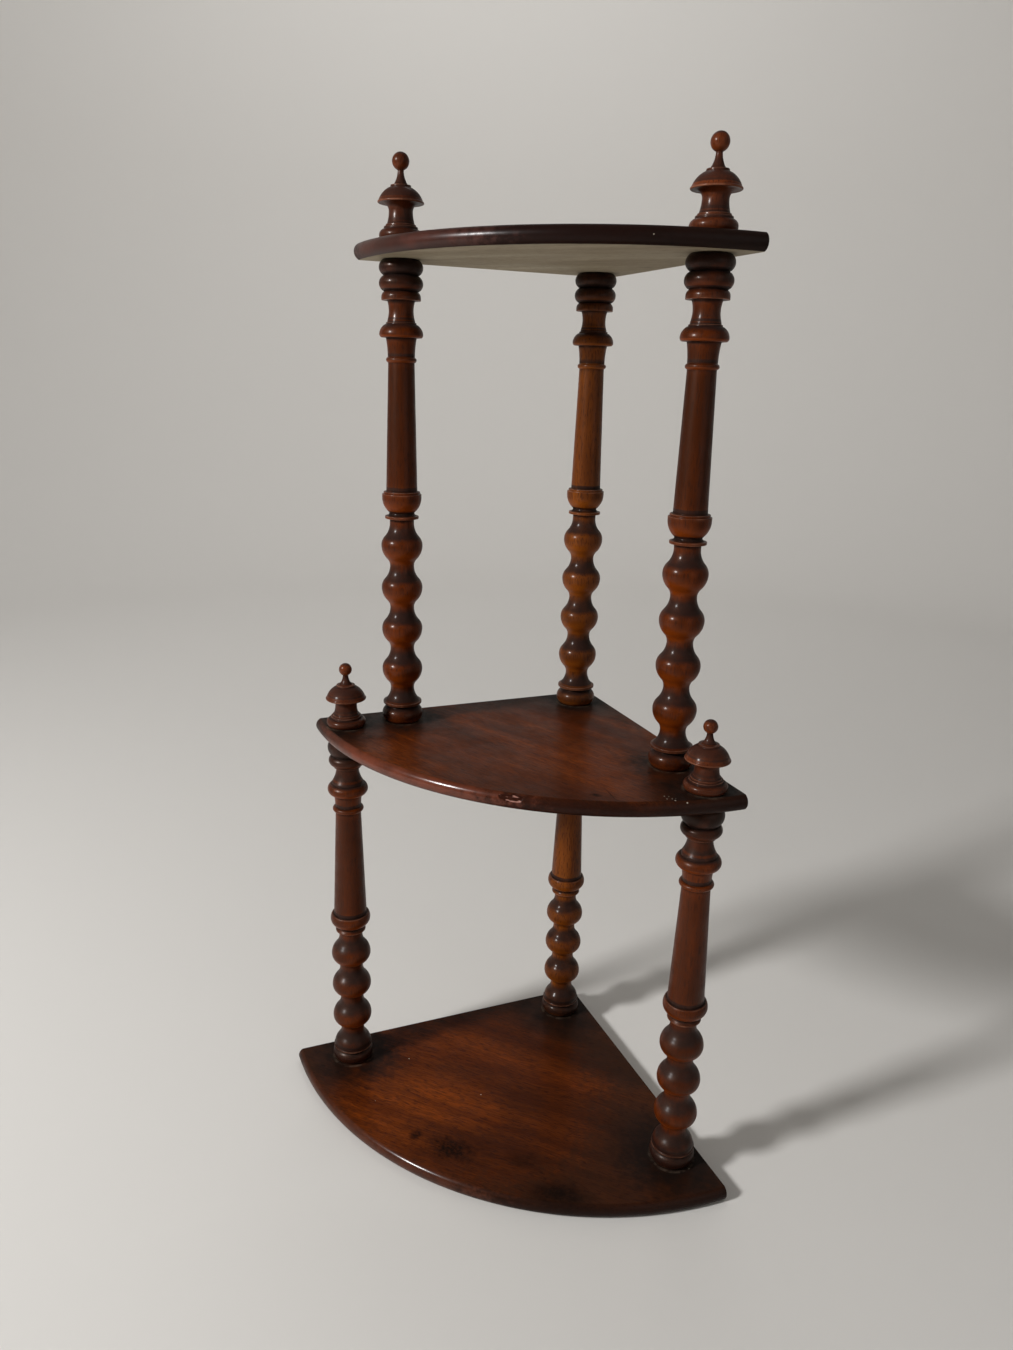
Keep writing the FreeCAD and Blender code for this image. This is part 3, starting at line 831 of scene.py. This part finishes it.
boardSettings = {
    "lead": 6.0,         # flat rim that shares the nose's rows
    "noseDepth": 4.5,    # how far the front edge bows out
    "noseSteps": 96,
    "gap": 0.1,          # sampling of the drawn section
    "soften": 0.45,      # rounding of the nose's two arrises
    "rows": 84,
    "halfTurn": 45.0,    # degrees on each side of the front
    "sweepStep": 0.3,
    "holeSides": 48,
    "blindFloor": 3.0,   # wood left above the blind peg hole
    "insideHole": 0.99,  # share of a hole's radius within which no triangle stays
    "near": 1e-5,        # nearer points are one point of a level face
    "arris": 0.5,        # rounding of the square back edges
    "arrisSegments": 2,
    "merge": 1e-6,       # metres between points that are joined
    "onBack": 1e-5,      # metres from a back plane that count as on it
}
frontChip = {
    "along": 34.8, "down": 4.8, "length": 11.5, "height": 3.9, "depth": 2.0, "seed": 5,
    "rim": ((0.3, 1.0, 1.0, 5.0), (0.22, 0.35, 1.0, 1.8)),  # share, stretch along and down, size
    "floor": ((0.3, 0.22, 1.0, 1.6), (0.2, 1.0, 0.7, 3.0)),
    "steep": 2.4,
    "outside": -0.5,     # value of the oval past which nothing breaks
    "floorShares": (0.75, 0.2, 1.2),  # middle, least and most of the depth
    "margin": 1.7,       # lengths from its middle with a finer sweep
    "step": 0.06,        # degrees of that sweep
    "fresh": 0.5,        # depth at which the broken wood shows in full
}


def flatFace(rim, corner, holes):
    # the level face between the back corner, the rim along the nose and the peg holes
    s, sides = boardSettings, boardSettings["holeSides"]
    rings = [circlePoints(x, y, r, sides) for x, y, r in holes]
    points = np.concatenate([[corner], rim] + rings)
    outline = np.arange(len(rim) + 1)
    edges = np.stack([outline, np.roll(outline, -1)], 1).tolist()
    for index in range(len(rings)):
        ring = len(rim) + 1 + index * sides + np.arange(sides)
        edges += np.stack([ring, np.roll(ring, -1)], 1).tolist()
    corners = [Vector(p) for p in points]
    found, _, triangles, *_ = delaunay_2d_cdt(corners, edges, [], 1, s["near"])
    flat = np.array([tuple(p) for p in found])
    triangles = np.array(triangles)
    middle = flat[triangles].mean(1)
    for x, y, r in holes:
        clear = np.hypot(middle[:, 0] - x, middle[:, 1] - y) > r * s["insideHole"]
        triangles, middle = triangles[clear], middle[clear]
    a, b, c = (flat[triangles[:, k]] for k in range(3))
    area = (b[:, 0] - a[:, 0]) * (c[:, 1] - a[:, 1]) - (b[:, 1] - a[:, 1]) * (c[:, 0] - a[:, 0])
    triangles[area < 0] = triangles[area < 0][:, ::-1]
    return flat, triangles


def lumps(x, y, size, draws, cells=64):
    # smooth random heights from -1 to 1: a square lattice of that size, eased between its points
    lattice = draws.uniform(-1, 1, (cells, cells))
    u, v = x / size, y / size
    i, j = np.floor(u).astype(int), np.floor(v).astype(int)
    p, q = u - i, v - j
    p, q = p * p * (3 - 2 * p), q * q * (3 - 2 * q)
    i, j, nextI, nextJ = i % cells, j % cells, (i + 1) % cells, (j + 1) % cells
    near = lattice[i, j] * (1 - p) + lattice[nextI, j] * p
    far = lattice[i, nextJ] * (1 - p) + lattice[nextI, nextJ] * p
    return near * (1 - q) + far * q


def chipDepth(along, down, chip):
    # a ragged oval along the edge with a broken floor of long splinters
    draws = np.random.default_rng(chip["seed"])
    across = (along - chip["along"]) / chip["length"]
    oval = 1 - np.hypot(across, (down - chip["down"]) / chip["height"])
    middle, least, most = chip["floorShares"]
    ragged, rough = (sum(share * lumps(along * wide, down * tall, size, draws)
                         for share, wide, tall, size in chip[layer]) for layer in ("rim", "floor"))
    edge = np.clip((oval + ragged) * chip["steep"], 0, 1) * (oval > chip["outside"])
    return chip["depth"] * edge * np.clip(middle + rough, least, most)


def sweepAngles(radius, chip):
    # even angles to both sides of the front, finer along the chip
    s = boardSettings
    sweep = np.arange(-s["halfTurn"], s["halfTurn"] + 0.001, s["sweepStep"])
    if chip:
        low, high = (math.degrees((chip["along"] + sign * chip["margin"] * chip["length"]) / radius)
                     for sign in (-1, 1))
        fine = np.arange(low, high, chip["step"])
        sweep = np.concatenate([sweep[sweep < low], fine, sweep[sweep > high]])
    return np.radians(sweep)


def boardSurface(radius, thickness, cornerY, holes, blind, chip):
    # a section with a bowed nose carried round the back corner, then level faces, two square ends
    # and the bores of the pegs
    s = boardSettings
    rim = radius - s["noseDepth"]
    bow = arcPoints((rim, thickness), (radius, thickness / 2), (rim, 0.0), s["noseSteps"])
    path = np.concatenate([[[rim - s["lead"], thickness]], bow, [[rim - s["lead"], 0.0]]])
    even, out, rises = softPath(path, s["gap"], s["soften"])
    lean = np.arctan2(np.gradient(out), -np.gradient(rises))
    pick = np.linspace(0, len(even) - 1, s["rows"]).astype(int)
    out, rises, lean, down = out[pick], rises[pick], lean[pick], even[pick] - s["lead"]
    rises[[0, -1]] = thickness, 0.0
    sweep = sweepAngles(radius, chip)
    along, below = np.meshgrid(sweep * radius, down)
    depth = chipDepth(along, below, chip) if chip else np.zeros(along.shape)
    spread = out[:, None] - depth * np.cos(lean)[:, None]
    rise = rises[:, None] - depth * np.sin(lean)[:, None]
    grid = np.stack([spread * np.sin(sweep), cornerY - spread * np.cos(sweep), rise], -1)
    rows, columns = grid.shape[:2]
    points = [grid.reshape(-1, 3)]
    faces = gridQuads(rows, columns, False)[:, ::-1].tolist()
    bare = np.repeat(down[1:] > even[-1] - 2 * s["lead"], columns - 1).astype(int).tolist()
    curved = len(faces)
    count = rows * columns
    corner = np.array([0.0, cornerY])
    for level, edge, faceHoles in ((thickness, grid[0], holes), (0.0, grid[-1], holes + blind)):
        flat, triangles = flatFace(edge[:, :2], corner, faceHoles)
        points.append(np.column_stack([flat, np.full(len(flat), level)]))
        triangles = triangles if level > 0 else triangles[:, ::-1]
        faces += (triangles + count).tolist()
        bare += [int(level == 0)] * len(triangles)
        count += len(flat)
    points.append(np.array([[0, cornerY, 0], [0, cornerY, thickness]]))
    left = np.arange(rows) * columns
    right = left + columns - 1
    faces += [[count] + left[::-1].tolist() + [count + 1], [count + 1] + right.tolist() + [count]]
    bare += [0, 0]
    count += 2
    bores = [(*hole, thickness) for hole in holes]
    bores += [(*hole, thickness - s["blindFloor"]) for hole in blind]
    for x, y, r, head in bores:
        circle = circlePoints(x, y, r, s["holeSides"])
        points += [np.column_stack([circle, np.full(len(circle), z)]) for z in (0.0, head)]
        quads = gridQuads(2, len(circle), True, count)[:, ::-1]
        faces += quads.tolist()
        bare += [1] * len(quads)
        if head < thickness:
            faces.append((count + len(circle) + np.arange(len(circle))[::-1]).tolist())
            bare.append(1)
        count += 2 * len(circle)
    points = np.concatenate(points)
    marks = {"nose": np.zeros(len(points)), "chip": np.zeros(len(points))}
    marks["nose"][:rows * columns] = np.repeat(np.clip(np.cos(lean), 0, 1), columns)
    if chip:
        marks["chip"][:rows * columns] = np.clip((depth / chip["fresh"]).ravel(), 0, 1)
    return points, faces, np.array(bare), marks, np.arange(len(faces)) >= curved


def makeBoard(node, holes, blind, material, chip=None):
    low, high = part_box(node)
    radius, cornerY = (high.y - low.y) / mm, high.y / mm
    points, faces, bare, marks, level = boardSurface(radius, thick[node], cornerY, holes, blind, chip)
    points = points * mm + np.array([0, 0, low.z])
    woods = [material, bareWood]
    board = makePiece("board_" + node, node, points, faces, woods, marks, bare, level)
    mesh, made = board.data, bmesh.new()
    made.from_mesh(mesh)
    bmesh.ops.remove_doubles(made, verts=made.verts, dist=boardSettings["merge"])
    made.to_mesh(mesh)
    made.free()

    # only the edges of the two square backs are rounded
    co = np.zeros(len(mesh.vertices) * 3)
    mesh.vertices.foreach_get("co", co)
    co = co.reshape(-1, 3)
    ends = np.zeros(len(mesh.edges) * 2, int)
    mesh.edges.foreach_get("vertices", ends)
    away = np.stack([np.abs(co[:, 1] + sign * co[:, 0] - high.y) for sign in (1, -1)], 1)
    onBack = (away < boardSettings["onBack"])[ends.reshape(-1, 2)].all(1).any(1)
    weights = mesh.attributes.new("bevel_weight_edge", "FLOAT", "EDGE")
    weights.data.foreach_set("value", onBack.astype(np.float32))
    soft = board.modifiers.new("softArris", "BEVEL")
    soft.limit_method = "WEIGHT"
    soft.width = boardSettings["arris"] * mm
    soft.segments = boardSettings["arrisSegments"]


def axisOf(node):
    low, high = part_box(node)
    return (low.x + high.x) / 2 / mm, (low.y + high.y) / 2 / mm


lowerAxes = {side: axisOf("lower_column_" + side) for side in allSides}
upperAxes = {side: axisOf("upper_column_" + side) for side in allSides}


def bored(axes, chosen, peg):
    return [(*axes[side], pegs[peg] + pegs["clearance"]) for side in chosen]


def footHalos(axes, chosen, level, rim, reach, tall=0.02):
    # centre and reach of the wax film and painted shade round each foot, and the rim that its dust
    # lies against
    centres = [(axes[side][0] * mm, axes[side][1] * mm, level) for side in chosen]
    return [(centre, (reach, reach, tall), rim) for centre in centres]


# Each blot has its centre and reach in metres, a stain then its turn in degrees, and last its share

bottomFinish = {
    "grainTurn": 0,
    "clean": ((-0.045, -0.045, 0.014), (0.19, 0.17, 0.06)),
    "warm": [((-0.075, -0.08, 0.014), (0.1, 0.09, 0.05), 0.75)],
    "stains": [((-0.058, -0.128, 0.014), (0.011, 0.014, 0.02), 0, 0.9),
               ((-0.019, -0.130, 0.014), (0.046, 0.026, 0.03), 0, 0.95),
               ((-0.022, -0.130, 0.014), (0.07, 0.042, 0.03), 0, 0.4),
               ((0.050, -0.115, 0.014), (0.028, 0.018, 0.03), 0, 0.5),
               ((0.095, -0.138, 0.014), (0.040, 0.022, 0.03), -20, 0.85)],
    "rubbedEdge": ((-0.1, -0.12, 0.01), (0.2, 0.15, 0.05)),
    "litter": [((0.186, -0.056, 0.014), (0.012, 0.008, 0.02))],
}
bottomLook = dict(shelfLook, rubbed=(88, 44, 24))
bottomWood = makeShelfWood("bottomShelfWood", bottomLook, bottomFinish,
                           footHalos(lowerAxes, allSides, bottomTop, 0.0205, 0.075))
makeBoard("bottom_shelf", bored(lowerAxes, allSides, "column"), [], bottomWood)

middleFinish = {
    "grainTurn": 20,
    "clean": ((0.0, -0.03, 0.395), (0.22, 0.17, 0.06)),
    "warm": [((-0.1, -0.045, 0.395), (0.08, 0.05, 0.05), 0.5),
             ((0.03, -0.07, 0.395), (0.13, 0.06, 0.05), 0.65)],
    "stains": [((0.097, -0.103, 0.3955), (0.007, 0.0045, 0.01), 0, 1.0),
               ((0.1075, -0.096, 0.3955), (0.02, 0.0009, 0.01), 50.6, 0.9)],
    "rubbedEdge": ((-0.09, -0.115, 0.39), (0.17, 0.13, 0.05)),
    "litter": [((0.160, -0.077, 0.3955), (0.013, 0.009, 0.02))],
}
middleWood = makeShelfWood("middleShelfWood", shelfLook, middleFinish,
                           footHalos(lowerAxes, front, middleTop, 0.0185, 0.075)
                           + footHalos(upperAxes, allSides, middleTop, 0.019, 0.058))
middleHoles = bored(lowerAxes, front, "finial") + bored(upperAxes, allSides, "column")
makeBoard("middle_shelf", middleHoles, [], middleWood, frontChip)

topLook = dict(shelfLook, light=(60, 27, 16), mid=(42, 19, 12), dark=(26, 13, 10), warm=(78, 36, 17),
               edge=(18, 8, 6), rubbed=(84, 44, 34), coatRoughness=0.28)
topFinish = {
    "grainTurn": 5,
    "clean": ((0.0, -0.01, 0.836), (0.18, 0.14, 0.06)),
    "warm": [((-0.02, 0.02, 0.836), (0.13, 0.09, 0.05), 0.6)],
    "stains": [((0.03, -0.02, 0.836), (0.016, 0.012, 0.01), 30, 0.6)],
    "rubbedEdge": ((-0.10, -0.055, 0.83), (0.13, 0.1, 0.05)),
    "litter": [],
}
topWood = makeShelfWood("topShelfWood", topLook, topFinish,
                        footHalos(upperAxes, front, topTop, 0.0185, 0.05))
makeBoard("top_shelf", bored(upperAxes, front, "finial"), bored(upperAxes, ["back"], "column"),
          topWood)

for name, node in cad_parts.items():
    if "wedge" in name:
        node.data.materials.clear()
        node.data.materials.append(wedgeWood)
print("made the shelf boards")


# Floor that turns up into a backdrop all round: flat, a quarter circle, then straight up

stageSettings = {
    "hub": 0.02, "flat": 2.6, "bend": 1.6, "top": 5.0,
    "bendSteps": 24, "around": 128,
    "drop": 0.0002,  # the floor lies this far below the stand
    "colour": (0.68, 0.66, 0.63, 1.0), "roughness": 0.9, "specular": 0.1,
}


def makeStage():
    s = stageSettings
    turn = np.linspace(0, math.pi / 2, s["bendSteps"])
    rounded, outer = s["flat"] + s["bend"] * np.sin(turn), s["flat"] + s["bend"]
    radius = np.concatenate([[s["hub"], s["flat"] / 2], rounded, [outer]])
    height = np.concatenate([[0, 0], s["bend"] * (1 - np.cos(turn)), [s["top"]]])
    points = spunPoints(radius, height, s["around"]) - np.array([0, 0, s["drop"]])
    faces = gridQuads(len(radius), s["around"], True).tolist() + [list(range(s["around"]))]
    mesh = bpy.data.meshes.new("floor")
    mesh.from_pydata(points.tolist(), [], faces)
    mesh.polygons.foreach_set("use_smooth", np.ones(len(faces), bool))
    material, tree, shader = newMaterial("paleFloor")
    feed(tree, shader, {"Base Color": s["colour"], "Roughness": s["roughness"],
                        "Specular IOR Level": s["specular"]})
    mesh.materials.append(material)
    floor = bpy.data.objects.new("floor", mesh)
    scene.collection.objects.link(floor)


lamps = {
    "keyLamp": {"place": (-1.5, -1.93, 1.7), "aim": (0, 0, 0.45), "size": 0.42, "power": 78},
    "fillLamp": {"place": (1.9, -1.0, 1.2), "aim": (0, 0, 0.45), "size": 2.0, "power": 3},
    "backdropLamp": {"place": (-1.0, 1.8, 3.3), "aim": (-1.7, 3.9, 0.9), "size": 1.8, "power": 34},
}
skyStrength = 0.15


def makeLamp(name, place, aim, size, power):
    lamp = bpy.data.lights.new(name, "AREA")
    lamp.shape = "DISK"
    lamp.size = size
    lamp.energy = power
    holder = bpy.data.objects.new(name, lamp)
    holder.location = place
    holder.rotation_euler = (Vector(aim) - Vector(place)).to_track_quat("-Z", "Y").to_euler()
    scene.collection.objects.link(holder)


makeStage()
for name, settings in lamps.items():
    makeLamp(name, **settings)
world = bpy.data.worlds.new("softSky")
world.use_nodes = True
sky = world.node_tree
feed(sky, sky.nodes["Background"], {"Color": (1.0, 1.0, 1.0, 1.0), "Strength": skyStrength})
scene.world = world

cameraView = {  # worked out from the shelf edges and turnings in a picture of 1013 by 1350
    "place": (0.31398, -0.82986, 0.72560),
    "ahead": (-0.36573, 0.88463, -0.28927),
    "up": (-0.13675, 0.25635, 0.95686),
    "sensor": 36,
    "lens": 983.95 * 36 / 1350,
    "near": 0.01,
}
lens = bpy.data.cameras.new("camera")
lens.sensor_width = cameraView["sensor"]
lens.lens = cameraView["lens"]
lens.clip_start = cameraView["near"]
camera = bpy.data.objects.new("camera", lens)
ahead, up = Vector(cameraView["ahead"]).normalized(), Vector(cameraView["up"])
aside = ahead.cross(up).normalized()
up = aside.cross(ahead)
facing = Matrix((aside, up, -ahead)).transposed().to_4x4()
camera.matrix_world = Matrix.Translation(cameraView["place"]) @ facing
scene.collection.objects.link(camera)
scene.camera = camera
scene.view_settings.view_transform = "Standard"

print("set the stage")
